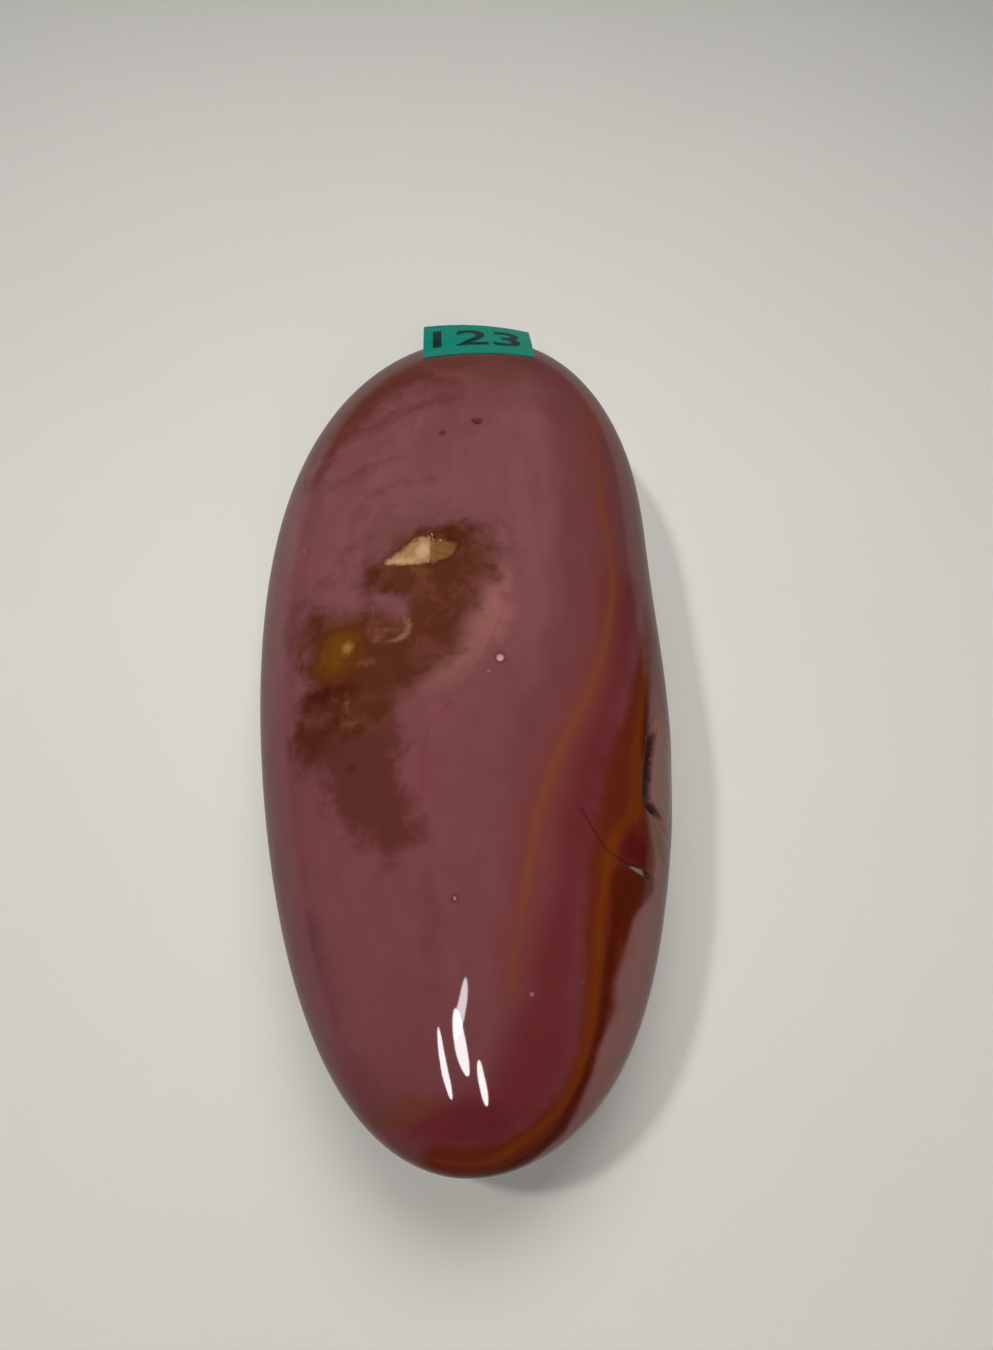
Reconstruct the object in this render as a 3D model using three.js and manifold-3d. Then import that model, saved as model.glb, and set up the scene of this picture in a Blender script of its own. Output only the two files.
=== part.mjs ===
// A polished jasper palm stone that lies on a small flat spot, with a strip of number tape on its far end.
// Millimetres. +Y runs along the stone to the taped end, +X across it, and +Z up from the surface it rests on.
import * as THREE from "three";
import { mergeVertices } from "three/addons/utils/BufferGeometryUtils.js";
import Module from "manifold-3d";

const { degToRad } = THREE.MathUtils;

// The stone's length, its half widths at mid length, and how far it rises and drops from its widest level.
const HALF_LENGTH = 58.2;
const RIGHT_HALF_WIDTH = 24.9;
const LEFT_HALF_WIDTH = 26.6;
const WIDEST_LEVEL = 15.5;
const CROWN_RISE = 18;
const BELLY_DROP = 16;

// How the outline differs from an ellipse: one number each for the first, second and third power of the
// place along it.
const RIGHT_OUTLINE = [0.24, 0.55, -0.2];
const LEFT_OUTLINE = [0.23, 0.24, -0.08];
const SHOULDER_FULLNESS = 0.04;

// The sections turn a little about the long axis towards each end. The middle line bows to the right at both
// ends, and leans to the left at the near end and to the right at the far one.
const END_TURN = degToRad(6);
const END_BOW = 0.3;
const END_LEAN = 1.3;
const CENTRE_SHIFT = 1.1;

// The right flank draws in a little past mid length and swells below its hollow.
const FLANK_WAIST = { depth: 0.9, along: 13, spread: 14 };
const FLANK_LIP = { depth: -0.45, along: -17, spread: 13 };

// Natural hollows that the polish left open. Each is an ellipsoid: its centre, half sizes, turn in degrees
// about X, Y and Z, and how much narrower it gets towards its far end.
const FLANK_HOLLOW = { centre: [24, -15.2, 24.3], halves: [3.6, 9.4, 4.7], turn: [0, -47, -3], taper: 0.4 };
const CROWN_VUG = { centre: [-4.6, 6.3, 33.6], halves: [4.6, 2.5, 1.5], turn: [0, -6, 8], taper: 0 };
const FLANK_CHIP = { centre: [18.2, -29.9, 25.9], halves: [1.8, 0.8, 0.7], turn: [0, 44, -6], taper: 0 };

// The strip of tape: stuck down along its near edge and standing straight off the end of the stone.
const TAPE_LENGTH = 16;
const TAPE_WIDTH = 12;
const TAPE_THICKNESS = 0.3;
const TAPE_NEAR_EDGE = { x: 2.8, y: 46.7, z: 26.5 };
const TAPE_SLOPE = degToRad(24);
const TAPE_TWIST = degToRad(0.3);
const TAPE_TILT = Math.tan(degToRad(2));
const TAPE_BEND_RADIUS = 38;

// Facets along X, Y and Z of the box that is rounded into the stone, round and down each hollow, and along
// the tape.
const STONE_FACETS = [20, 46, 16];
const HOLLOW_FACETS = [28, 16];
const TAPE_FACETS = [16, 2, 1];

// The mauve body of the stone under its mirror polish, and the teal plastic of the tape.
const POLISHED_JASPER = { color: 0x733f44, roughness: 0.12, metalness: 0 };
const TEAL_TAPE = { color: 0x0f8a72, roughness: 0.3, metalness: 0 };

const wasm = await Module();
wasm.setup();

function swell(place, { depth, along, spread }) {
  return depth * Math.exp(-(((place - along) / spread) ** 2));
}

function halfWidth(width, [first, second, third], along) {
  return width * Math.sqrt(1 + first * along + second * along ** 2 + third * along ** 3);
}

// Carries a point of the unit sphere to the stone's surface. The sphere's y is the place along the stone,
// from -1 to 1.
function stonePoint(unit) {
  const along = unit.y;
  const girth = Math.hypot(unit.x, unit.z);
  const side = girth > 0 ? unit.x / girth : 0;
  const rise = girth > 0 ? unit.z / girth : 0;
  const y = HALF_LENGTH * along;
  const flank = swell(y, FLANK_WAIST) + swell(y, FLANK_LIP);
  const right = girth * halfWidth(RIGHT_HALF_WIDTH, RIGHT_OUTLINE, along) - flank;
  const left = girth * halfWidth(LEFT_HALF_WIDTH, LEFT_OUTLINE, along);
  const shoulder = 1 + SHOULDER_FULLNESS * (2 * rise * side) ** 2;
  const across = (shoulder * ((right + left) * side + (right - left) * side ** 2)) / 2;
  const height = (CROWN_RISE + BELLY_DROP) * rise + (CROWN_RISE - BELLY_DROP) * rise ** 2;
  const up = (shoulder * girth * height) / 2;
  const turn = END_TURN * along;
  const middle = CENTRE_SHIFT + END_BOW * along ** 2 + END_LEAN * along ** 3;
  return new THREE.Vector3(
    middle + across * Math.cos(turn) - up * Math.sin(turn),
    y,
    Math.max(0, WIDEST_LEVEL + across * Math.sin(turn) + up * Math.cos(turn)),
  );
}

// Rounds the box's grid to a sphere of even cells, so that no point of the stone has long thin facets.
function spherePoint(corner) {
  const even = (value) => Math.tan((value * Math.PI) / 4);
  return new THREE.Vector3(even(corner.x), even(corner.y), even(corner.z)).normalize();
}

// Leaves only the positions, moves each one, and shares the vertices that meet.
function shaped(geometry, move) {
  geometry.deleteAttribute("normal");
  geometry.deleteAttribute("uv");
  const positions = geometry.getAttribute("position");
  const point = new THREE.Vector3();
  for (let i = 0; i < positions.count; i++) {
    positions.setXYZ(i, ...move(point.fromBufferAttribute(positions, i)));
  }
  return mergeVertices(geometry);
}

function solidFrom(geometry) {
  const vertProperties = geometry.getAttribute("position").array;
  const triVerts = new Uint32Array(geometry.index.array);
  return new wasm.Manifold(new wasm.Mesh({ numProp: 3, vertProperties, triVerts }));
}

function geometryFrom(solid) {
  const { vertProperties, triVerts } = solid.getMesh();
  const geometry = new THREE.BufferGeometry();
  geometry.setAttribute("position", new THREE.BufferAttribute(vertProperties, 3));
  geometry.setIndex(new THREE.BufferAttribute(triVerts, 1));
  return geometry;
}

function hollowSolid({ centre, halves, turn, taper }) {
  const turned = new THREE.Euler(...turn.map(degToRad), "ZYX");
  const place = new THREE.Matrix4().compose(
    new THREE.Vector3(...centre),
    new THREE.Quaternion().setFromEuler(turned),
    new THREE.Vector3(...halves),
  );
  const sphere = new THREE.SphereGeometry(1, ...HOLLOW_FACETS);
  const move = (point) => point.setZ(point.z * (1 - taper * point.y)).applyMatrix4(place);
  return solidFrom(shaped(sphere, move));
}

function stoneGeometry() {
  const box = new THREE.BoxGeometry(2, 2, 2, ...STONE_FACETS);
  const pebble = solidFrom(shaped(box, (corner) => stonePoint(spherePoint(corner))));
  const hollows = [FLANK_HOLLOW, CROWN_VUG, FLANK_CHIP].map(hollowSolid);
  return geometryFrom(hollows.reduce((stone, hollow) => stone.subtract(hollow), pebble));
}

// Bends a flat strip over the end of the stone: across runs along the strip, and outward from its near edge
// to its free one.
function tapePoint({ x: across, y: outward, z: lift }) {
  const slope = TAPE_SLOPE + TAPE_TWIST * across;
  const sag = across ** 2 / (2 * TAPE_BEND_RADIUS) - TAPE_TILT * across;
  return new THREE.Vector3(
    TAPE_NEAR_EDGE.x + across,
    TAPE_NEAR_EDGE.y + outward * Math.cos(slope) + lift * Math.sin(slope),
    TAPE_NEAR_EDGE.z - outward * Math.sin(slope) + lift * Math.cos(slope) - sag,
  );
}

function tapeGeometry() {
  const strip = new THREE.BoxGeometry(TAPE_LENGTH, TAPE_WIDTH, TAPE_THICKNESS, ...TAPE_FACETS);
  strip.translate(0, TAPE_WIDTH / 2, TAPE_THICKNESS / 2);
  return shaped(strip, tapePoint);
}

function named(name, geometry, finish) {
  const mesh = new THREE.Mesh(geometry, new THREE.MeshStandardMaterial(finish));
  mesh.name = name;
  return mesh;
}

const palmStone = new THREE.Group();
palmStone.add(named("jasper_stone", stoneGeometry(), POLISHED_JASPER));
palmStone.add(named("number_tape", tapeGeometry(), TEAL_TAPE));

export default palmStone;
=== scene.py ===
# A polished polychrome jasper palm stone with a strip of number tape on its far end, on a pale table top.
import math
from dataclasses import dataclass

import bmesh
import bpy
import numpy as np
from mathutils import Matrix, Vector
from mathutils.bvhtree import BVHTree


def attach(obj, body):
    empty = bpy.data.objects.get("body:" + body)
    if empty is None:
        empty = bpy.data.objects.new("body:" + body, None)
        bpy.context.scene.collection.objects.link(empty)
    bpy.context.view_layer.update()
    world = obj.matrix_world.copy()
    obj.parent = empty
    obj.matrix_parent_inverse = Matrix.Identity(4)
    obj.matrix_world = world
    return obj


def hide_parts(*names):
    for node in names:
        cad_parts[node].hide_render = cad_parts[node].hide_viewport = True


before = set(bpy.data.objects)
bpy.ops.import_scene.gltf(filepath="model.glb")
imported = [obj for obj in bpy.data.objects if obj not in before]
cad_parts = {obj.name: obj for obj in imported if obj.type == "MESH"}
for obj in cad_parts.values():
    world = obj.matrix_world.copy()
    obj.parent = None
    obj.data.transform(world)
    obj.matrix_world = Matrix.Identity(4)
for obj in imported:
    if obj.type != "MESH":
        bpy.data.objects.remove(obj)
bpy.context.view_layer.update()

MM = 0.001

# The stone's shape in mm, as the solid has it: its half length, its half widths at mid length, and how far it
# rises and drops from its widest level.
HALF_LENGTH = 58.2
RIGHT_HALF_WIDTH = 24.9
LEFT_HALF_WIDTH = 26.6
WIDEST_LEVEL = 15.5
CROWN_RISE = 18
BELLY_DROP = 16
RIGHT_OUTLINE = (0.24, 0.55, -0.2)
LEFT_OUTLINE = (0.23, 0.24, -0.08)
SHOULDER_FULLNESS = 0.04
END_TURN = math.radians(6)
END_BOW = 0.3
END_LEAN = 1.3
CENTRE_SHIFT = 1.1
FLANK_WAIST = dict(depth=0.9, along=13, spread=14)
FLANK_LIP = dict(depth=-0.45, along=-17, spread=13)

# Cells across, along and up the box that is rounded into the stone's skin, about half a millimetre each. Each
# cell within these distances in mm of an opening is cut in four, once or twice.
SKIN_CELLS = (80, 180, 60)
REFINED_WITHIN = (1.3, 0.5)

# The openings and the markings below are drawn from a point this far short of the stone's middle.
DRAWN_FROM = 1

# The stone's layers lie in each other like bowls: they are drawn in plan at this level, and flare below it.
BOWL_LEVEL = 26
BOWL_FLARE = 0.6

# The long hollow on the right flank, drawn on the skin: place along the stone, and mm up round the section
# from the widest level, where a turn of one radian is SECTION_RADIUS. The rim is crisp above and at the blunt
# near end. Distances from the rim give the steep wall, the end of the floor and the start of the low lobe.
# The wall widens towards the near end, and the hollow fades out towards the far one.
SECTION_RADIUS = 22
HOLLOW_RIM = [(-5, 12.6), (-8, 13.6), (-12.5, 15.3), (-15, 16), (-18.1, 16.6), (-20.8, 16.6), (-22.1, 15.7),
              (-22.9, 13.8), (-24, 11.2), (-24.7, 8.8)]
HOLLOW_LIP = [(-23.8, 6), (-19, 3), (-13, 2.6), (-8, 5.5), (-5.5, 9.5)]
HOLLOW_REACH = 2.2
HOLLOW_DEPTH = 1.4
HOLLOW_WALL = 0.35
HOLLOW_END_WALL = 1.8
HOLLOW_END = (-20.5, -23)
HOLLOW_FADE = (-8.5, -14)
HOLLOW_FLOOR_TO = 0.7
LIP_SLOPE = 3
LOBE_FROM = 2.1
LOBE_DEPTH = 0.25

# The vug on the crown, in plan, with the pale crust in it and the step where the crust breaks off, and the
# chip and its hairline crack.
VUG_OUTLINE = [(-9.6, 6.6), (-7.8, 8.8), (-5.7, 10.4), (-2.6, 10.6), (-0.6, 9.2), (-0.9, 7.4), (-3, 5.9),
               (-5, 5.3), (-7, 5.8)]
CRUST_OUTLINE = [(-9.3, 6.8), (-7.6, 8.2), (-6, 9.6), (-4.6, 10.1), (-2.4, 10), (-1.1, 8.9), (-1.5, 7.6),
                 (-3, 6.9), (-4.2, 6.4), (-6.4, 6.2), (-8, 6.3)]
VUG_DEPTH = 0.8
VUG_STEP_AT = -4
CHIP = dict(start=(17.2, -28.5, 26.4), end=(19.3, -29, 24.4), half_width=0.32, depth=0.3)
CRACK_LINE = [(11.9, -23.4, 30.1), (13, -25.2, 29.3), (14.4, -27.2, 28.3), (15.7, -27.9, 27.5),
              (17.2, -28.5, 26.4)]
CRACK_DEPTH = 0.06

# Pinholes in the polish: place, radius and depth. The pale ones hold a filling.
PALE_PITS = [(3.7, -6.8, 33.3, 0.55, 0.3), (-1.5, -33, 30.4, 0.35, 0.2)]
DARK_PITS = [(2, 30.2, 31, 0.7, 0.15), (-2.5, 28.1, 31.1, 0.45, 0.1), (-9, 33.8, 28.6, 0.3, 0.08),
             (-13.2, -15.3, 30.3, 0.4, 0.08), (-12.4, -18.8, 30.4, 0.55, 0.1)]

# Pale specks that the polish runs over: place and radius.
SPECKS = [((2.4, -8.4, 33.3), 0.28), ((11.4, -40.4, 25.9), 0.24), ((6.1, -41.8, 27), 0.3),
          ((-19.5, 12, 27), 0.25)]

# The tape, in mm, as the solid has it, but at its real thickness. It is pressed down at its near edge, and
# comes free between the two distances from it.
TAPE_LENGTH = 16
TAPE_WIDTH = 12
TAPE_THICKNESS = 0.16
TAPE_NEAR_EDGE = (2.8, 46.7, 26.5)
TAPE_SLOPE = math.radians(24)
TAPE_TWIST = math.radians(0.3)
TAPE_TILT = math.tan(math.radians(2))
TAPE_BEND_RADIUS = 38
TAPE_CLEARANCE = 0.05
TAPE_PRESSED = 0.9
TAPE_COMES_FREE = (1, 6)
TAPE_CELLS = (48, 30)
NUMBER = "123"
NUMBER_WIDTH = 12.8
NUMBER_HEIGHT = 6.2
NUMBER_MIDDLE = (-0.2, 6.3)
INK_THICKNESS = 0.03
INK_STEP = 0.5

# Parts of a shape that meet at more than this angle keep a sharp edge.
SHARP_ANGLE = math.radians(40)

# The roughness of the stone's polish, which is close to a mirror's, and its faint waves in mm.
POLISH = 0.035
POLISH_WAVE = 8
POLISH_WAVE_HEIGHT = 0.05

# The sizes in mm of the mottling that the markings' edges follow, of the streaks in the body, and of the grain.
# The grain is finer in jasper, and is drawn as coarse as it needs to show.
MOTTLING = {"coarse": 9, "medium": 2.6, "fine": 0.7}
STREAKS = 5
GRAIN = 0.35

# The mottling runs from 0 to 1, and moves an edge by this many times the marking's wander.
WANDER_REACH = 2.4

# The sizes in mm of the tape's scuffs, the wear of its ink, and the table top's faint clouding, and the table
# top's radius in metres.
SCUFFS = 1.2
INK_WEAR = 0.5
CLOUDING = 60
TABLE_RADIUS = 4

# The ceiling lamps that the polish mirrors at the near end: azimuth and elevation, length and width in degrees,
# how they are turned, and their power. They hang this far off, in metres.
LAMP_DISTANCE = 1.5
CEILING_LAMPS = [(-173, 46, 25, 2.8, 18, 2.2), (177, 62, 14, 3.5, -14, 1), (177, 53, 20, 4.2, 14, 2.6),
                 (167, 38.5, 19, 2.6, 1, 1.6)]

# The photograph's viewing angle: the camera's place in mm, where it looks, and its focal length and the width
# of its frame in mm.
CAMERA_PLACE = (-3.0, -64.8, 129.1)
CAMERA_YAW = math.radians(6.5)
CAMERA_PITCH = math.radians(60.1)
CAMERA_ROLL = math.radians(5.5)
CAMERA_LENS = 27.04
CAMERA_FRAME = 36


def linear(hex_colour):
    """An sRGB hex colour as linear red, green, blue and full alpha."""
    shares = [int(hex_colour[i : i + 2], 16) / 255 for i in (1, 3, 5)]
    return (*[s / 12.92 if s <= 0.04045 else ((s + 0.055) / 1.055) ** 2.4 for s in shares], 1.0)


def node(tree, kind, sockets=(), **settings):
    """Adds a node, sets its properties, and fills its sockets with values or with links from other nodes."""
    made = tree.nodes.new(kind)
    for name, value in settings.items():
        setattr(made, name, value)
    for key, value in dict(sockets).items():
        if isinstance(value, bpy.types.NodeSocket):
            tree.links.new(value, made.inputs[key])
        else:
            made.inputs[key].default_value = value
    return made


def new_material(name):
    material = bpy.data.materials.new(name)
    material.use_nodes = True
    material.node_tree.nodes.clear()
    return material, material.node_tree


def smooth_step(value, start, end):
    share = np.clip((value - start) / (end - start), 0, 1)
    return share * share * (3 - 2 * share)


def rounded(points, closed=False, steps=5):
    """A smooth line through the given points."""
    p = np.asarray(points, float)
    ends = (p[-1:], p[:2]) if closed else (2 * p[:1] - p[1:2], 2 * p[-1:] - p[-2:-1])
    p = np.vstack([ends[0], p, ends[1]])
    t = np.linspace(0, 1, steps, endpoint=False)[:, None]
    spans = []
    for a, b, c, d in zip(p, p[1:], p[2:], p[3:]):
        spans.append(b + 0.5 * t * (c - a + t * (2 * a - 5 * b + 4 * c - d + t * (3 * (b - c) + d - a))))
    return np.vstack([*spans, p[-2:-1]])


def from_line(places, line):
    """How far each place is from a line, on which side of it, and how far along it."""
    nearest = np.full(len(places), np.inf)
    side = np.zeros(len(places))
    along = np.zeros(len(places))
    travelled = 0.0
    for start, end in zip(line, line[1:]):
        span = end - start
        length = np.linalg.norm(span)
        share = np.clip((places - start) @ span / length**2, 0, 1)
        gap = places - start - share[:, None] * span
        distance = np.linalg.norm(gap, axis=1)
        nearer = distance < nearest
        nearest[nearer] = distance[nearer]
        along[nearer] = travelled + share[nearer] * length
        if places.shape[1] == 2:
            side[nearer] = np.sign(span[0] * gap[nearer, 1] - span[1] * gap[nearer, 0])
        travelled += length
    return nearest, side, along / travelled


def strip(places, points, half_widths):
    """Signed distance from the edge of a stripe, negative inside it."""
    line = rounded(points)
    distance, _, along = from_line(places, line)
    return distance - np.interp(along, np.linspace(0, 1, len(half_widths)), half_widths)


def strips(places, lines_and_widths):
    """Signed distance from the nearest of several stripes."""
    return np.min([strip(places, *stripe) for stripe in lines_and_widths], axis=0)


def patch(places, outline):
    """Signed distance from a closed outline, negative inside it."""
    line = rounded(outline, closed=True)
    distance, _, _ = from_line(places, line)
    inside = np.zeros(len(places), bool)
    for (x0, y0), (x1, y1) in zip(line, line[1:]):
        if y0 != y1:
            spans = (y0 > places[:, 1]) != (y1 > places[:, 1])
            crossing = x0 + (places[:, 1] - y0) * (x1 - x0) / (y1 - y0)
            inside ^= spans & (places[:, 0] < crossing)
    return np.where(inside, -distance, distance)


def spots(places, centres_and_radii):
    """Signed distance from the nearest of several round or oval spots, negative inside them."""
    found = []
    for centre, radii in centres_and_radii:
        radii = np.broadcast_to(np.asarray(radii, float), 3)
        reach = np.linalg.norm((places - np.asarray(centre, float)) / radii, axis=1)
        found.append((reach - 1) * radii.min())
    return np.min(found, axis=0)


def swell(place, depth, along, spread):
    return depth * np.exp(-(((place - along) / spread) ** 2))


def half_width(width, outline, along):
    first, second, third = outline
    return width * np.sqrt(1 + first * along + second * along**2 + third * along**3)


def stone_points(unit):
    """Carries points of the unit sphere to the stone's skin, in mm, by the same formula as the solid."""
    along = unit[:, 1]
    girth = np.hypot(unit[:, 0], unit[:, 2])
    safe = np.maximum(girth, 1e-9)
    side, rise = unit[:, 0] / safe, unit[:, 2] / safe
    y = HALF_LENGTH * along
    flank = swell(y, **FLANK_WAIST) + swell(y, **FLANK_LIP)
    right = girth * half_width(RIGHT_HALF_WIDTH, RIGHT_OUTLINE, along) - flank
    left = girth * half_width(LEFT_HALF_WIDTH, LEFT_OUTLINE, along)
    shoulder = 1 + SHOULDER_FULLNESS * (2 * rise * side) ** 2
    across = shoulder * ((right + left) * side + (right - left) * side**2) / 2
    up = shoulder * girth * ((CROWN_RISE + BELLY_DROP) * rise + (CROWN_RISE - BELLY_DROP) * rise**2) / 2
    turn = END_TURN * along
    middle = CENTRE_SHIFT + END_BOW * along**2 + END_LEAN * along**3
    x = middle + across * np.cos(turn) - up * np.sin(turn)
    z = WIDEST_LEVEL + across * np.sin(turn) + up * np.cos(turn)
    return np.stack([x, y, np.maximum(z, 0)], axis=1)


def sphere_cells(cells):
    """The points of a unit sphere in even cells, and its four-sided faces."""
    corners = {}
    faces = []
    for axis in range(3):
        second, third = (axis + 1) % 3, (axis + 2) % 3
        for level in (0, cells[axis]):
            for i in range(cells[second]):
                for j in range(cells[third]):
                    ring = [(i, j), (i + 1, j), (i + 1, j + 1), (i, j + 1)]
                    face = []
                    for a, b in ring if level else reversed(ring):
                        place = [0, 0, 0]
                        place[axis], place[second], place[third] = level, a, b
                        face.append(corners.setdefault(tuple(place), len(corners)))
                    faces.append(face)
    even = np.tan((np.array(list(corners)) / np.array(cells) * 2 - 1) * math.pi / 4)
    return even / np.linalg.norm(even, axis=1, keepdims=True), faces


def drawn(skin):
    """Points of the skin, measured from where the openings and markings are drawn."""
    return skin + np.array([0, DRAWN_FROM, 0])


def skin_chart(unit, skin):
    """Each point's place along the stone, and mm up round its section from the widest level."""
    return np.stack([skin[:, 1], SECTION_RADIUS * np.arctan2(unit[:, 2], unit[:, 0])], axis=1)


def openings(unit, skin):
    """Distance in mm from the nearest open hollow, pit or chip, negative inside it."""
    chart = skin_chart(unit, skin)
    near_rim = from_line(chart, rounded(HOLLOW_RIM))[0] - HOLLOW_REACH
    vug = np.where(skin[:, 2] > WIDEST_LEVEL, patch(skin[:, :2], VUG_OUTLINE), 9)
    chip = strip(skin, [CHIP["start"], CHIP["end"]], [CHIP["half_width"]])
    crack = strip(skin, CRACK_LINE, [0.1])
    pits = spots(skin, [(pit[:3], pit[3]) for pit in PALE_PITS + DARK_PITS])
    return np.min([near_rim, vug, chip, crack, pits], axis=0)


def skin_cells():
    """The sphere's cells, cut finer near the open hollows."""
    unit, faces = sphere_cells(SKIN_CELLS)
    mesh = bpy.data.meshes.new("skin_cells")
    mesh.from_pydata(unit.tolist(), [], faces)
    cells = bmesh.new()
    cells.from_mesh(mesh)
    for reach in REFINED_WITHIN:
        unit = np.array([v.co for v in cells.verts])
        unit /= np.linalg.norm(unit, axis=1, keepdims=True)
        close = openings(unit, drawn(stone_points(unit))) < reach
        edges = [e for e in cells.edges if close[e.verts[0].index] and close[e.verts[1].index]]
        bmesh.ops.subdivide_edges(cells, edges=edges, cuts=1, use_grid_fill=True)
        cells.verts.index_update()
    bmesh.ops.triangulate(cells, faces=[f for f in cells.faces if len(f.verts) > 4])
    cells.to_mesh(mesh)
    cells.free()
    unit = np.array([v.co for v in mesh.vertices])
    return unit / np.linalg.norm(unit, axis=1, keepdims=True), mesh


def hollow_depth(chart):
    """The flank hollow: a steep wall under its rim, a floor, and a slope up to a low lobe."""
    along = chart[:, 0]
    inside = -patch(chart, HOLLOW_RIM + HOLLOW_LIP)
    from_rim, _, _ = from_line(chart, rounded(HOLLOW_RIM))
    from_lip, _, _ = from_line(chart, rounded([HOLLOW_RIM[-1], *HOLLOW_LIP, HOLLOW_RIM[0]]))
    wall = HOLLOW_WALL + HOLLOW_END_WALL * smooth_step(along, *HOLLOW_END)
    rise = smooth_step(from_rim, HOLLOW_FLOOR_TO, LOBE_FROM)
    depth = HOLLOW_DEPTH + (LOBE_DEPTH - HOLLOW_DEPTH) * rise
    depth = depth * smooth_step(along, *HOLLOW_FADE) * smooth_step(from_rim / wall, 0, 1)
    return np.where(inside > 0, depth * smooth_step(from_lip, 0, LIP_SLOPE), 0)


def vug_depth(skin):
    """The crown's vug: two ledges of crust with a step between them."""
    inside = -patch(skin[:, :2], VUG_OUTLINE)
    x, y = skin[:, 0], skin[:, 1]
    ledge = 0.45 + 0.55 * smooth_step(x, VUG_STEP_AT - 0.1, VUG_STEP_AT + 0.1)
    crumbs = 0.09 * np.sin(3.1 * x + 1.7 * np.sin(2.3 * y)) * np.sin(2.9 * y + 1.1 * np.sin(3.7 * x))
    depth = smooth_step(inside, 0, 0.9) * (VUG_DEPTH * ledge + crumbs)
    return np.where((inside > 0) & (skin[:, 2] > WIDEST_LEVEL), depth, 0)


def pit_depth(skin):
    """The pinholes, the chip and the crack."""
    depth = np.zeros(len(skin))
    for x, y, z, radius, deep in PALE_PITS + DARK_PITS:
        reach = np.linalg.norm(skin - np.array([x, y, z]), axis=1) / radius
        depth = np.maximum(depth, deep * smooth_step(reach, 1, 0.35))
    chip = from_line(skin, np.array([CHIP["start"], CHIP["end"]], float))[0] / CHIP["half_width"]
    crack = from_line(skin, rounded(CRACK_LINE))[0]
    depth = np.maximum(depth, CHIP["depth"] * smooth_step(chip, 1, 0.2))
    return np.maximum(depth, CRACK_DEPTH * smooth_step(crack, 0.16, 0.04))


@dataclass
class Marking:
    """A colour on the stone, which in a few markings is painted shade, highlight or reflection: its place, the
    softness and wander of its edge in mm, and how much it covers.
    """

    name: str
    colour: str
    field: np.ndarray
    soft: float = 0.5
    wander: float = 0.6
    grain: str = "medium"
    cover: float = 1.0
    unpolished: float = 0.0


def layered(places):
    """Carries places in mm to the plan of the stone's layers, which lie in each other like bowls."""
    places = np.atleast_2d(np.asarray(places, float))
    return places[:, :2] * (1 + BOWL_FLARE * (BOWL_LEVEL - places[:, 2:]) / BOWL_LEVEL)


# Where the markings lie, in mm. The orange bands and the dark red between them are points on the skin, and the
# brown cloud and its golden window are given in plan.
ORANGE_VEIN = [(18.5, 40.5, 25), (18, 35, 26.5), (17.5, 20, 29.5), (18, 8, 29.5), (17, 1, 30), (14, -9, 31),
               (10, -17, 31.5), (7.5, -24, 31.5), (6, -30.5, 30.5), (4.5, -37.5, 29), (4, -42, 28)]
BAND_INNER = [(22.5, 4, 26), (19, -8.3, 28.4), (15.8, -15.8, 29.6), (14, -22.7, 29.4), (12.7, -28.1, 28.9),
              (11.8, -34, 27.8), (11.3, -40.6, 25.9), (10.7, -46.4, 23.5), (7.8, -51.1, 21.9),
              (2.8, -54.4, 20.7), (-4, -54.5, 20.6)]
BAND_OUTER = [(-4.5, -57.2, 15.5), (-0.1, -57.6, 15.2), (3.3, -57.2, 15.2), (7.2, -55, 17.8),
              (9.2, -53.7, 18.2), (11.2, -50.5, 20.3), (12.1, -48.5, 21.3), (13.1, -45.7, 22.5),
              (14.7, -42.7, 23), (15, -39.9, 24.1), (18, -32.5, 25), (20.5, -28, 24), (19.8, -22, 25.8),
              (19.5, -18, 26.7), (20.4, -14, 26.6), (21.5, -8, 26.2), (23.5, 3, 25)]
BAND_LIGHT = [(21.8, -2, 26.8), (20.5, -8.9, 27.1), (19.2, -14.3, 27.6), (18.4, -21.7, 27),
              (16.8, -24.9, 27.5), (15.1, -27.2, 28), (13.4, -34.3, 27), (12.9, -39, 25.6),
              (11.5, -46.3, 23.2), (8.9, -51.3, 21.1), (4.3, -54.8, 19.8), (1.4, -56.1, 18.9),
              (-3.5, -55.7, 19.2)]
BAND_DARK = [(17.2, -30.5, 26), (15.8, -32.2, 26.3), (14.9, -36.1, 25.6), (14, -40, 24.7),
             (13.4, -43.6, 23.4), (11.8, -48.2, 21.7), (10.1, -51.1, 20.3), (8.5, -53.5, 19),
             (4.9, -56.1, 17.2), (1, -57.3, 15.8)]
BAND_EDGE = [(21.9, -3, 26.4), (21.3, -7.3, 26.5), (20.3, -12.7, 27), (19.8, -16, 27)]
WINE_ZONE = [(17, 6, 30.3), (15.4, -6, 31), (11.6, -16, 31.7), (9, -24, 31.6), (7.4, -31, 30.7),
             (5.6, -38, 29.3), (4, -44, 27.5), (1, -49, 24.8), (-5, -51.6, 22.9), (-5.5, -53.8, 20.6),
             (-0.1, -54.9, 20.6), (4.6, -53.9, 20.9), (8.1, -51, 22), (10.7, -46.4, 23.5), (11.8, -38, 27),
             (13, -31, 28.2), (15, -22, 29), (17.6, -12, 29), (20.3, -1.2, 28), (22, 8, 26.8)]
CLOUD_BODY = [(-11, 7), (-9, 10), (-6.5, 11.5), (-3, 12.2), (0.5, 11.7), (3.8, 9.3), (4, 7), (2.8, 3.5),
              (1, -1.5), (0, -5), (-2.5, -8), (-5, -10.5), (-6.7, -12.5), (-8.5, -15), (-13, -16),
              (-18.3, -14), (-17.8, -9.5), (-19, -4.5), (-20.6, -0.5), (-18.8, 1.3), (-16.2, 1.8),
              (-13, 0.8), (-9.3, 0.2), (-7.3, 0), (-6.6, 1.2), (-9, 2.5), (-11, 3.2), (-11.2, 5)]
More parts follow.
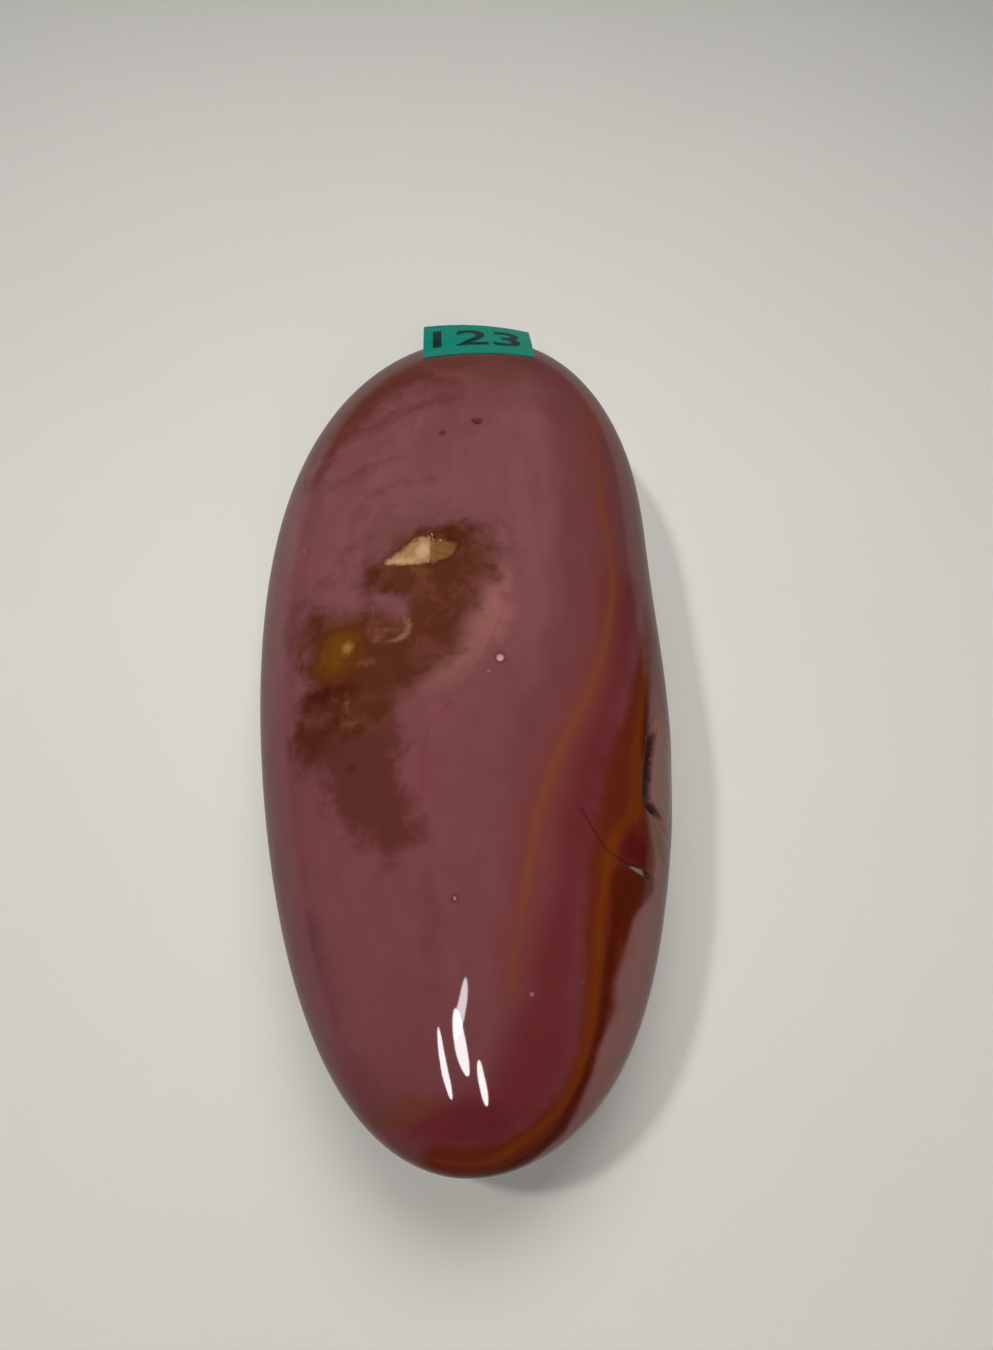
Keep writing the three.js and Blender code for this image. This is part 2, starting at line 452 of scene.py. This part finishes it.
CLOUD_TAIL = [(-7.5, -13), (-7.8, -18), (-6, -21.7), (-5.2, -25), (-6.5, -27.8), (-8.2, -29), (-11, -25.5),
              (-14.8, -22.5), (-15.3, -19), (-18.8, -16.5), (-18, -12.5)]
GOLDEN_WINDOW = [(-15.8, -2.4), (-13.6, -2.1), (-11.8, -3.6), (-12.2, -6), (-13.9, -8), (-16, -7.4),
                 (-16.6, -4.6)]


def ground_markings(skin, layers):
    """The wide zones over the mauve body: browner towards the far end, darker over the near half and at the
    near end, warm and wine-red zones, and a painted reflection along the right flank.
    """
    along = skin[:, 1]
    warm_edge = rounded([(12, 60), (11.5, 32), (11, 7), (9.5, -4), (5.5, -15), (3, -30), (3, -60)])
    distance, side, _ = from_line(skin[:, :2], warm_edge)
    return [
        # Browner towards the far end, and darker over the near half and again at the near end.
        Marking("far_end_brown", "#6a3830", 39 - along, 9, 7, "coarse", 0.9),
        Marking("warm_side", "#723c3b", -distance * side, 1.6, 2, "coarse", 0.8),
        Marking("near_half", "#743e42", along + 8, 14, 4, "coarse", 0.6),
        Marking("near_end_red", "#6c3537", along + 49, 9, 6, "coarse", 0.7),
        Marking("wine_zone", "#6c272b", patch(layers, layered(WINE_ZONE)) + 0.6, 2.4, 1.5, "coarse", 0.9),
        Marking("near_wine", "#621f26", spots(skin, [((0, -53, 22), (5.5, 2.2, 3))]), 1.2, 1.4, "medium", 0.6),
        # Painted reflection: the paler grey that the polish shows along the right flank's grazing edge.
        Marking("flank_reflection", "#8e605a", flank_reflection(skin, layers), 0.7, 0.5, "medium", 0.9),
    ]


def flank_reflection(skin, layers):
    """Painted reflection: the paler grey outside the orange band, along the near half of the right flank."""
    outer = layered(BAND_OUTER[1:])
    distance, side, _ = from_line(layers, rounded(outer))
    return np.maximum(distance * side, 0.12 * (skin[:, 1] + 8))


def streak_markings(skin):
    """Thin wisps and veins in the mauve body."""
    plan = np.where(skin[:, 2:] > WIDEST_LEVEL, skin[:, :2], 99)
    rust = [
        ([(2, 45), (-5, 43), (-9.5, 40), (-15, 37), (-19, 32), (-20.8, 27)], [0.6, 1.8, 2, 1.4, 0.6]),
        ([(0, 36), (-3, 35.6), (-6, 34), (-12, 30.6), (-16, 30), (-19, 26)], [0.2, 0.9, 0.5, 0.5]),
        ([(-8, 24), (-13.5, 22.6), (-18.5, 20)], [0.1, 0.3, 0.1]),
        ([(-4, 19.6), (-10, 18.6), (-12.6, 15.5), (-13.6, 11.5), (-14, 8)], [0.05, 0.2, 0.15, 0.1]),
        ([(-15.6, 6.6), (-18, 5), (-19.6, 3.4), (-20.6, -0.5)], [0.1, 0.5, 0.3]),
    ]
    dark = [
        ([(-16.5, -33), (-15.2, -37), (-13.5, -43)], [0.5, 0.8, 0.3]),
        ([(-4, -31), (-4.2, -35.5), (-4, -40.5)], [0.1, 0.4, 0.1]),
    ]
    far_path = [(-19.4, 24), (-18.3, 28.1), (-15.6, 33.5), (-11.6, 40), (-7.3, 42.3), (-1, 39.5)]
    far_rust = strip(plan, far_path, [0.6, 1.6, 2.6, 2.6, 1.6, 0.4])
    pink_path = [(4, 4), (2.6, -1), (0.4, -5.1), (-2.2, -8.1), (-4.6, -10.3)]
    pink = strip(plan, pink_path, [1, 2.2, 1.8, 1.3, 0.2])
    line_path = [(4.6, 1), (2.8, -4.5), (-0.3, -10.6), (-3.3, -13.6), (-4.6, -17), (-4.9, -23), (-5.8, -28)]
    line = strip(plan, line_path, [0.03, 0.1, 0.12, 0.2, 0.1])
    return [
        Marking("far_rust", "#692c1e", far_rust, 2.2, 2.6, "medium", 0.75),
        Marking("rust_wisps", "#602e26", strips(plan, rust), 1.5, 2, "medium", 0.5),
        Marking("dark_streaks", "#603338", strips(plan, dark), 1.2, 1.4, "medium", 0.45),
        Marking("pink_streak", "#9c645c", pink, 1.6, 2.2, "medium", 0.75),
        Marking("red_line", "#7a3534", line, 0.25, 0.3, "fine", 0.55),
    ]


def band_markings(skin, layers):
    """The orange vein that runs from the far end, and the wide band round the right side and the near end."""
    band = patch(layers, layered(BAND_INNER + BAND_OUTER))
    vein = strip(layers, layered(ORANGE_VEIN), [0.1, 0.25, 0.45, 0.5, 0.4, 0.1])
    wisp = [(-9.9, -52.3), (-7.7, -52), (-5.8, -51.6), (-4, -51.1), (-2.7, -50.7)]
    high = np.where(skin[:, 2:] > WIDEST_LEVEL, skin[:, :2], 99)
    light = strip(layers, layered(BAND_LIGHT), [0.3, 0.6, 1, 1.1, 0.6, 0.7, 0.6, 0.7, 0.7, 0.3])
    dark_edge = strip(layers, layered(BAND_EDGE), [0.2, 0.5, 0.5, 0.2])
    dark = np.minimum(strip(layers, layered(BAND_DARK), [0.7, 0.8, 0.6, 0.5, 0.5, 0.8, 1.4, 1.6]), dark_edge)
    notch = [(15.6, -29.6, 28), (20.2, -28.9, 24.4), (20.4, -30.6, 23.6), (17.7, -33.5, 25), (16.3, -37, 25.8),
             (15, -33, 27.4)]
    crimson = [((17.4, -26.4, 26.8), (1.5, 2, 1.3)), ((18.6, -27, 25.6), (1.2, 1.7, 1.3))]
    return [
        Marking("vein_glow", "#7a3a2e", vein - 1.3, 1.4, 0.8, "medium", 0.55),
        Marking("vein", "#82432b", vein, 0.5, 0.4, "medium", 0.85),
        Marking("near_wisp", "#6e3a2a", strip(high, wisp, [0.5, 1.1, 0.9, 0.3]), 0.8, 0.8, "medium", 0.75),
        Marking("band", "#66220b", band, 1.1, 0.7, "medium", 0.95),
        Marking("band_light", "#7a3604", light, 0.8, 0.6, "medium", 0.8),
        Marking("band_dark", "#4e1202", dark, 0.6, 0.4, "medium", 0.9),
        Marking("notch_dark", "#561a02", patch(layers, layered(notch)), 0.6, 0.4, "medium", 0.85),
        Marking("crimson", "#5a0e16", spots(skin, crimson), 0.7, 0.5, "medium", 0.85),
    ]


def cloud_markings(skin):
    """The brown cloud on the left of the crown, with its golden window and its flecks."""
    plan = np.where(skin[:, 2:] > WIDEST_LEVEL, skin[:, :2], 99)
    body = patch(plan, CLOUD_BODY)
    window = patch(plan, GOLDEN_WINDOW)
    halo = np.minimum(body - 0.6, spots(skin, [((-5.5, 11, 32), (6, 4, 4))]))
    dark = [((-16, -10, 29.3), (2.6, 2.2, 3)), ((-15.5, -14, 29.5), (3, 1.8, 3)),
            ((-10.6, 4.4, 32), (1.2, 2.6, 2)), ((-1, 10.6, 33), (2.6, 1, 2)),
            ((-14.7, -9.3, 30), (1.6, 1.2, 2))]
    flecks = [((-13.2, -11.4, 31), (0.25, 0.9, 0.6)), ((-12.4, -13.6, 31), (0.6, 0.2, 0.6)),
              ((-9.5, -2.8, 32), (1, 0.25, 1)), ((-10.1, -3.9, 32), (0.45, 0.3, 1)),
              ((-11, -6.4, 32), (0.9, 0.4, 1))]
    crescent_path = [(-6.9, -1), (-6.5, -2.2), (-6.7, -3.5), (-7.6, -4.1), (-8.8, -4.1)]
    crescent = strip(plan, crescent_path, [0.1, 0.3, 0.35, 0.3, 0.1])
    spark = [((-13.3, -4.3, 31), (0.55, 0.7, 0.7))]
    foot = [((-15.3, -9.4, 30), (2.2, 0.8, 2))]
    return [
        Marking("cloud_halo", "#6a433f", halo, 2.2, 3, "medium", 0.6),
        Marking("cloud_tail", "#5a2a22", patch(plan, CLOUD_TAIL), 1.6, 2.6, "medium", 0.85),
        Marking("cloud", "#663629", body + 0.5, 1.3, 1.8, "medium", 0.95),
        Marking("cloud_patches", "#50230f", body + 2.4, 2, 6, "medium", 0.65),
        Marking("cloud_dark", "#4b1a04", spots(skin, dark), 1.6, 1.8, "medium", 0.75),
        Marking("window_rim", "#57280c", window - 0.8, 1.3, 1.2, "medium", 0.85),
        Marking("window", "#70430f", window + 0.5, 1.6, 2.4, "medium", 0.9),
        Marking("window_foot", "#48130a", spots(skin, foot), 0.7, 0.8, "medium", 0.85),
        Marking("window_spark", "#9c7440", spots(skin, spark), 0.45, 0.4, "fine", 0.9),
        Marking("flecks", "#8a5a48", spots(skin, flecks), 0.35, 0.5, "fine", 0.5),
        Marking("crescent", "#98705a", crescent, 0.3, 0.3, "fine", 0.65),
    ]


def opening_markings(skin, chart):
    """The unpolished places: the vug's crust, the pits, the chip, the crack and the flank's hollow. The crust
    is painted light on one side of its step and as shade on the other, with painted highlights, and the
    hollow's groove is painted shade and its lobe painted light and reflection.
    """
    plan = np.where(skin[:, 2:] > WIDEST_LEVEL, skin[:, :2], 99)
    vug = patch(plan, VUG_OUTLINE)
    rim, _, _ = from_line(chart, rounded(HOLLOW_RIM))
    hollow = patch(chart, HOLLOW_RIM + HOLLOW_LIP)
    # The groove just under the hollow's rim is painted near black as shade.
    crease_ends = np.maximum(0.4 * (chart[:, 0] + 12), -21.8 - chart[:, 0])
    painted_crease_shade = np.max([hollow - 0.1, rim - LOBE_FROM + 0.2, crease_ends], axis=0)
    lobe = np.max([hollow + 0.4, LOBE_FROM - rim, 0.4 * (chart[:, 0] + 11)], axis=0)
    lip = strip(chart, [(-22.4, 15.4), (-24.1, 13.4), (-25.4, 11.9), (-26.3, 10.9)], [0.3, 0.9, 1, 0.4])
    crust = patch(plan, CRUST_OUTLINE)
    # One pale crust, painted lighter on one side of the step as lit and darker on the other as shade.
    lit_side = np.maximum(crust, plan[:, 0] - VUG_STEP_AT)
    shaded_side = np.maximum(crust, VUG_STEP_AT - plan[:, 0])
    crack = strip(skin, CRACK_LINE, [0.1, 0.14, 0.08, 0.14])
    chip = strip(skin, [CHIP["start"], CHIP["end"]], [0.05, 0.22, 0.28, 0.05])
    pale = spots(skin, [(pit[:3], pit[3]) for pit in PALE_PITS])
    dark = spots(skin, [(pit[:3], pit[3]) for pit in DARK_PITS])
    tan_foot = [(-6.4, 6), (-4, 5.2), (-4.2, 4.3), (-5.6, 4.4)]
    crust_highlight_spots = [((-4.9, 8.4, 33), (0.8, 1.1, 1)), ((-7.4, 7, 33), (1.1, 0.45, 1)), ((-8.7, 6.7, 32), 0.4)]
    return [
        Marking("vug_rim", "#50240f", vug, 0.7, 0.8, "fine", 0.7),
        Marking("vug_foot", "#704423", patch(plan, tan_foot), 0.5, 0.5, "fine", 0.75),
        # Painted shade and light: the pale crust, darker on the shaded side of the step and lighter on the lit
        # side.
        Marking("shaded_crust", "#80542a", shaded_side, 0.35, 0.6, "fine", 0.9, 0.3),
        Marking("lit_crust", "#a47a4e", lit_side, 0.3, 0.4, "fine", 0.97, 0.4),
        # Painted highlights: small lighter spots on the crust.
        Marking("crust_highlights", "#c8a378", spots(skin, crust_highlight_spots), 0.6, 0.6, "medium", 0.85, 0.4),
        Marking("dark_pits", "#552426", dark, 0.3, 0.3, "fine", 0.85, 0.2),
        Marking("pit_rings", "#5a2e30", pale - 0.15, 0.2, 0.15, "fine", 0.7),
        Marking("pale_pits", "#c99a92", pale + 0.12, 0.14, 0.1, "fine", 1, 0.5),
        Marking("specks", "#b0807a", spots(skin, SPECKS), 0.14, 0.2, "fine", 0.8),
        # Painted light and reflection: the low lobe below the groove is made paler, as if lit by the table and
        # veiled by its reflection.
        Marking("lobe", "#94665f", lobe, 1.2, 0.8, "medium", 0.9),
        # Painted shade: the dark groove under the hollow's crisp rim, made matt.
        Marking("painted_crease_shade", "#2a0402", painted_crease_shade, 0.35, 0.3, "fine", 0.97, 0.65),
        Marking("hollow_lip", "#745430", lip, 0.6, 0.4, "medium", 0.8, 0.15),
        Marking("crack", "#4c1014", crack, 0.16, 0.15, "fine", 0.8, 0.1),
        Marking("chip_shade", "#421505", chip - 0.2, 0.3, 0.2, "fine", 0.75, 0.1),
        Marking("chip", "#a08570", chip + 0.02, 0.12, 0.1, "fine", 0.95, 0.3),
    ]


def jasper_material(markings):
    """Jasper, a fine-grained opaque quartz, tumbled and then polished to a wet mirror gloss: the colour lies in
    the body, and the eye sees it through a clean, dark reflection that pales only at the grazing edges. A few
    markings also paint shade, highlights and a paler reflection into the colour."""
    material, tree = new_material("tumble_polished_jasper")
    place = node(tree, "ShaderNodeTexCoord").outputs["Object"]
    mottling = {}
    for grain, size in MOTTLING.items():
        mottling[grain] = node(
            tree,
            "ShaderNodeTexNoise",
            {"Vector": place, "Scale": 1 / (size * MM), "Detail": 3, "Roughness": 0.55, "Distortion": 0.4},
        ).outputs["Fac"]
    drawn_out = node(
        tree, "ShaderNodeMapping", {"Vector": place, "Scale": (1, 0.3, 1), "Rotation": (0, 0, 0.15)}
    ).outputs[0]
    streaks = node(
        tree,
        "ShaderNodeTexNoise",
        {"Vector": drawn_out, "Scale": 1 / (STREAKS * MM), "Detail": 4, "Roughness": 0.6, "Distortion": 1.2},
    )
    streak_share = node(
        tree, "ShaderNodeMapRange", {"Value": streaks.outputs["Fac"], "From Min": 0.38, "From Max": 0.64}
    )
    colour = node(
        tree,
        "ShaderNodeMix",
        {"Factor": streak_share.outputs[0], 6: linear("#7a464a"), 7: linear("#834f51")},
        data_type="RGBA",
    ).outputs[2]
    roughness = None
    for marking in markings:
        field = node(tree, "ShaderNodeAttribute", attribute_name=marking.name).outputs["Fac"]
        wandering = node(
            tree,
            "ShaderNodeMath",
            {0: mottling[marking.grain], 1: WANDER_REACH * marking.wander, 2: field},
            operation="MULTIPLY_ADD",
        )
        edge = WANDER_REACH / 2 * marking.wander
        share = node(
            tree,
            "ShaderNodeMapRange",
            {
                "Value": wandering.outputs[0],
                "From Min": edge + marking.soft,
                "From Max": edge - marking.soft,
                "To Max": marking.cover,
            },
            interpolation_type="SMOOTHSTEP",
        ).outputs[0]
        colour = node(
            tree, "ShaderNodeMix", {"Factor": share, 6: colour, 7: linear(marking.colour)}, data_type="RGBA"
        ).outputs[2]
        if marking.unpolished:
            below = roughness if roughness else POLISH
            roughness = node(
                tree, "ShaderNodeMix", {"Factor": share, 2: below, 3: marking.unpolished}, data_type="FLOAT"
            ).outputs[0]
    grain = node(
        tree, "ShaderNodeTexNoise", {"Vector": place, "Scale": 1 / (GRAIN * MM), "Detail": 2, "Roughness": 0.7}
    )
    blotches = node(
        tree,
        "ShaderNodeMath",
        {0: mottling["medium"], 1: 0.16, 2: 0.89},
        operation="MULTIPLY_ADD",
    )
    brightness = node(
        tree,
        "ShaderNodeMath",
        {0: grain.outputs["Fac"], 1: 0.06, 2: blotches.outputs[0]},
        operation="MULTIPLY_ADD",
    )
    toned = node(tree, "ShaderNodeHueSaturation", {"Value": brightness.outputs[0], "Color": colour})
    waves = node(tree, "ShaderNodeTexNoise", {"Vector": place, "Scale": 1 / (POLISH_WAVE * MM), "Detail": 1.5})
    polish_waves = node(
        tree,
        "ShaderNodeBump",
        {"Height": waves.outputs["Fac"], "Strength": 1, "Distance": POLISH_WAVE_HEIGHT * MM},
    )
    surface = node(
        tree,
        "ShaderNodeBsdfPrincipled",
        {
            "Base Color": toned.outputs[0],
            "Roughness": roughness,
            "IOR": 1.54,
            "Normal": polish_waves.outputs[0],
        },
    )
    node(tree, "ShaderNodeOutputMaterial", {"Surface": surface.outputs[0]})
    return material


def tape_material():
    """Printed label tape of glossy PET film: an even teal, bright where it is lit and a little scuffed."""
    material, tree = new_material("glossy_teal_label_film")
    place = node(tree, "ShaderNodeTexCoord").outputs["Object"]
    scuffs = node(tree, "ShaderNodeTexNoise", {"Vector": place, "Scale": 1 / (SCUFFS * MM), "Detail": 4})
    colour = node(
        tree,
        "ShaderNodeMix",
        {"Factor": scuffs.outputs["Fac"], 6: linear("#037f6c"), 7: linear("#0a8f79")},
        data_type="RGBA",
    )
    gloss = node(
        tree, "ShaderNodeMapRange", {"Value": scuffs.outputs["Fac"], "To Min": 0.22, "To Max": 0.36}
    )
    surface = node(
        tree,
        "ShaderNodeBsdfPrincipled",
        {
            "Base Color": colour.outputs[2],
            "Roughness": gloss.outputs[0],
            "IOR": 1.4,
            "Specular IOR Level": 0.35,
        },
    )
    node(tree, "ShaderNodeOutputMaterial", {"Surface": surface.outputs[0]})
    return material


def ink_material():
    """Black-green thermal ink under the tape's clear film: dark, thin and slightly uneven."""
    material, tree = new_material("thermal_printed_ink")
    place = node(tree, "ShaderNodeTexCoord").outputs["Object"]
    wear = node(tree, "ShaderNodeTexNoise", {"Vector": place, "Scale": 1 / (INK_WEAR * MM), "Detail": 3})
    colour = node(
        tree,
        "ShaderNodeMix",
        {"Factor": wear.outputs["Fac"], 6: linear("#062420"), 7: linear("#0d3b33")},
        data_type="RGBA",
    )
    surface = node(
        tree, "ShaderNodeBsdfPrincipled", {"Base Color": colour.outputs[2], "Roughness": 0.3, "IOR": 1.5}
    )
    node(tree, "ShaderNodeOutputMaterial", {"Surface": surface.outputs[0]})
    return material


def table_material():
    """White melamine laminate, pressed with a satin finish: even and pale, with a very soft reflection."""
    material, tree = new_material("satin_white_laminate")
    place = node(tree, "ShaderNodeTexCoord").outputs["Object"]
    clouding = node(tree, "ShaderNodeTexNoise", {"Vector": place, "Scale": 1 / (CLOUDING * MM), "Detail": 3})
    colour = node(
        tree,
        "ShaderNodeMix",
        {"Factor": clouding.outputs["Fac"], 6: linear("#dddbd4"), 7: linear("#e3e1da")},
        data_type="RGBA",
    )
    surface = node(
        tree, "ShaderNodeBsdfPrincipled", {"Base Color": colour.outputs[2], "Roughness": 0.42, "IOR": 1.5}
    )
    node(tree, "ShaderNodeOutputMaterial", {"Surface": surface.outputs[0]})
    return material


def new_object(name, mesh, material):
    made = bpy.data.objects.new(name, mesh)
    bpy.context.scene.collection.objects.link(made)
    mesh.materials.append(material)
    mesh.polygons.foreach_set("use_smooth", [True] * len(mesh.polygons))
    return made


def stone():
    """The polished stone, in place of its solid."""
    unit, mesh = skin_cells()
    skin = stone_points(unit)
    mesh.vertices.foreach_set("co", (skin * MM).ravel())
    mesh.update()
    outward = np.empty(len(skin) * 3, np.float32)
    mesh.vertex_normals.foreach_get("vector", outward)
    places = drawn(skin)
    chart = skin_chart(unit, places)
    depth = np.max([hollow_depth(chart), vug_depth(places), pit_depth(places)], axis=0)
    shaped = skin - depth[:, None] * outward.reshape(-1, 3)
    mesh.vertices.foreach_set("co", (shaped * MM).ravel())
    layers = layered(places)
    markings = [
        *ground_markings(places, layers),
        *streak_markings(places),
        *band_markings(places, layers),
        *cloud_markings(places),
        *opening_markings(places, chart),
    ]
    for marking in markings:
        mesh.attributes.new(marking.name, "FLOAT", "POINT").data.foreach_set("value", marking.field)
    mesh.update()
    made = new_object("polished_stone", mesh, jasper_material(markings))
    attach(made, "root")
    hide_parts("jasper_stone")
    return made


def tape_place(across, outward, lift, ground):
    """A point of the tape in metres: its near part lies on the stone, and the rest stands off the end."""
    slope = TAPE_SLOPE + TAPE_TWIST * across
    sag = across**2 / (2 * TAPE_BEND_RADIUS) - TAPE_TILT * across
    x = TAPE_NEAR_EDGE[0] + across
    y = TAPE_NEAR_EDGE[1] + outward * math.cos(slope)
    z = TAPE_NEAR_EDGE[2] - outward * math.sin(slope) - sag
    hit = ground.ray_cast(Vector((x, y, 60)) * MM, Vector((0, 0, -1)))[0]
    level = hit.z / MM + TAPE_CLEARANCE if hit else z
    pressed = TAPE_PRESSED * (1 - smooth_step(outward, *TAPE_COMES_FREE))
    z = max(level, z - pressed * max(0, z - level))
    return Vector((x, y + lift * math.sin(slope), z + lift * math.cos(slope))) * MM


def tape(ground):
    """The strip of label tape, in place of its solid."""
    cells = TAPE_CELLS
    mesh = bpy.data.meshes.new("tape")
    strip_mesh = bmesh.new()
    sheets = []
    for lift in (0, TAPE_THICKNESS):
        rows = []
        for i in range(cells[0] + 1):
            across = (i / cells[0] - 0.5) * TAPE_LENGTH
            rows.append([
                strip_mesh.verts.new(tape_place(across, j / cells[1] * TAPE_WIDTH, lift, ground))
                for j in range(cells[1] + 1)
            ])
        sheets.append(rows)
    under, over = sheets
    for i in range(cells[0]):
        for j in range(cells[1]):
            strip_mesh.faces.new([over[i][j], over[i + 1][j], over[i + 1][j + 1], over[i][j + 1]])
            strip_mesh.faces.new([under[i][j], under[i][j + 1], under[i + 1][j + 1], under[i + 1][j]])
    rim = [(i, 0) for i in range(cells[0])] + [(cells[0], j) for j in range(cells[1])]
    rim += [(i, cells[1]) for i in range(cells[0], 0, -1)] + [(0, j) for j in range(cells[1], 0, -1)]
    for (a, b), (c, d) in zip(rim, rim[1:] + rim[:1]):
        strip_mesh.faces.new([under[a][b], under[c][d], over[c][d], over[a][b]])
    bmesh.ops.recalc_face_normals(strip_mesh, faces=strip_mesh.faces)
    strip_mesh.to_mesh(mesh)
    strip_mesh.free()
    made = new_object("label_tape", mesh, tape_material())
    mesh.set_sharp_from_angle(angle=SHARP_ANGLE)
    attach(made, "root")
    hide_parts("number_tape")


def number(ground):
    """Plain generic digits, printed along the tape."""
    text = bpy.data.curves.new("number", "FONT")
    text.body = NUMBER
    text.extrude = 0.5
    text.offset = 0.012
    text.resolution_u = 6
    flat = bpy.data.objects.new("flat_number", text)
    bpy.context.scene.collection.objects.link(flat)
    graph = bpy.context.evaluated_depsgraph_get()
    mesh = bpy.data.meshes.new_from_object(flat.evaluated_get(graph))
    bpy.data.objects.remove(flat)
    mesh.materials.clear()
    cells = bmesh.new()
    cells.from_mesh(mesh)
    bmesh.ops.remove_doubles(cells, verts=cells.verts, dist=1e-5)
    places = np.array([v.co for v in cells.verts])
    low, high = places.min(axis=0), places.max(axis=0)
    for axis in (0, 1):
        cuts = int((NUMBER_WIDTH, NUMBER_HEIGHT)[axis] / INK_STEP)
        for cut in np.linspace(low[axis], high[axis], cuts + 1)[1:-1]:
            across = Vector((axis == 0, axis == 1, 0))
            parts = [*cells.verts, *cells.edges, *cells.faces]
            bmesh.ops.bisect_plane(cells, geom=parts, plane_co=across * cut, plane_no=across)
    places = np.array([v.co for v in cells.verts])
    size = np.array([NUMBER_WIDTH, NUMBER_HEIGHT, INK_THICKNESS])
    corner = np.array([*NUMBER_MIDDLE, TAPE_THICKNESS + INK_THICKNESS])
    placed = (places - (low + high) / 2) / (high - low) * size + corner
    for vertex, (across, outward, lift) in zip(cells.verts, placed):
        vertex.co = tape_place(across, outward, lift, ground)
    cells.to_mesh(mesh)
    cells.free()
    made = new_object("printed_number", mesh, ink_material())
    mesh.set_sharp_from_angle(angle=SHARP_ANGLE)
    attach(made, "root")


def table():
    """A plain pale table top that reaches past the picture on every side. The polish mirrors the room's ground
    in its place, because in the photo the stone's edges keep their deep colour."""
    mesh = bpy.data.meshes.new("table")
    disc = bmesh.new()
    bmesh.ops.create_circle(disc, cap_ends=True, segments=128, radius=TABLE_RADIUS)
    disc.to_mesh(mesh)
    disc.free()
    made = new_object("table_top", mesh, table_material())
    made.visible_glossy = False


def direction(azimuth, elevation):
    """A unit vector: azimuth from +Y towards +X, and elevation from the level, in degrees."""
    a, e = math.radians(azimuth), math.radians(elevation)
    return Vector((math.sin(a) * math.cos(e), math.cos(a) * math.cos(e), math.sin(e)))


def lamp(name, towards, aim, power, size, shape="DISK", turn=0, seen=True, beam=180):
    """An area light that faces its aim, with a beam in degrees. The polish mirrors it only where it is seen."""
    light = bpy.data.lights.new(name, "AREA")
    light.shape = shape
    light.size = size[0]
    if len(size) > 1:
        light.size_y = size[1]
    light.energy = power
    light.spread = math.radians(beam)
    made = bpy.data.objects.new(name, light)
    bpy.context.scene.collection.objects.link(made)
    made.rotation_mode = "QUATERNION"
    made.location = aim + towards
    made.rotation_quaternion = (towards.normalized()).to_track_quat("Z", "Y") @ Matrix.Rotation(
        turn, 3, "Z"
    ).to_quaternion()
    made.visible_glossy = seen


def lights():
    """Soft studio light from above and from the left, with slim ceiling lamps behind the viewer."""
    middle = Vector((0, 20, 20)) * MM
    near_end = Vector((-1, -49, 26)) * MM
    lamp("overhead", direction(0, 72) * 0.46, middle, 0.29, (0.3,), seen=False, beam=90)
    lamp("left_side", direction(-98, 64) * 0.7, middle, 0.145, (0.06,), seen=False, beam=60)
    for index, (azimuth, elevation, length, width, turn, power) in enumerate(CEILING_LAMPS):
        towards = direction(azimuth, elevation) * LAMP_DISTANCE
        size = (LAMP_DISTANCE * math.radians(width), LAMP_DISTANCE * math.radians(length))
        lamp(f"ceiling_lamp_{index}", towards, near_end, power, size, "ELLIPSE", math.radians(turn))


def surroundings():
    """A dim grey room, and below it the paler ground that the polish mirrors, darker on the near side."""
    world = bpy.data.worlds.new("room")
    world.use_nodes = True
    tree = world.node_tree
    tree.nodes.clear()
    place = node(tree, "ShaderNodeTexCoord").outputs["Generated"]
    towards = node(tree, "ShaderNodeSeparateXYZ", {0: place}).outputs
    below = node(
        tree,
        "ShaderNodeMapRange",
        {"Value": towards["Z"], "From Min": -0.06, "From Max": -0.24},
        interpolation_type="SMOOTHSTEP",
    )
    shaded = node(
        tree,
        "ShaderNodeMapRange",
        {"Value": towards["Y"], "From Min": -0.15, "From Max": -0.8},
        interpolation_type="SMOOTHSTEP",
    )
    ground = node(
        tree,
        "ShaderNodeMix",
        {"Factor": shaded.outputs[0], 6: linear("#85837d"), 7: linear("#3f3d3a")},
        data_type="RGBA",
    )
    colour = node(
        tree,
        "ShaderNodeMix",
        {"Factor": below.outputs[0], 6: linear("#3b3936"), 7: ground.outputs[2]},
        data_type="RGBA",
    )
    background = node(tree, "ShaderNodeBackground", {"Color": colour.outputs[2], "Strength": 1})
    node(tree, "ShaderNodeOutputWorld", {"Surface": background.outputs[0]})
    bpy.context.scene.world = world


def camera():
    """Looks down on the stone from its near end, as in the photograph."""
    data = bpy.data.cameras.new("camera")
    data.lens = CAMERA_LENS
    data.sensor_width = CAMERA_FRAME
    data.clip_start = 0.005
    data.clip_end = 20
    ahead = Vector((math.sin(CAMERA_YAW), math.cos(CAMERA_YAW), 0))
    right = Vector((ahead.y, -ahead.x, 0))
    down = Vector((0, 0, -1))
    forward = ahead * math.cos(CAMERA_PITCH) + down * math.sin(CAMERA_PITCH)
    picture_down = down * math.cos(CAMERA_PITCH) - ahead * math.sin(CAMERA_PITCH)
    across = right * math.cos(CAMERA_ROLL) - picture_down * math.sin(CAMERA_ROLL)
    upward = -(right * math.sin(CAMERA_ROLL) + picture_down * math.cos(CAMERA_ROLL))
    turn = Matrix((across, upward, -forward)).transposed().to_4x4()
    made = bpy.data.objects.new("camera", data)
    bpy.context.scene.collection.objects.link(made)
    made.matrix_world = Matrix.Translation(Vector(CAMERA_PLACE) * MM) @ turn
    bpy.context.scene.camera = made


camera()
surroundings()
lights()
table()
palm_stone = stone()
ground = BVHTree.FromObject(palm_stone, bpy.context.evaluated_depsgraph_get())
tape(ground)
number(ground)

bpy.context.scene.view_settings.view_transform = "Standard"
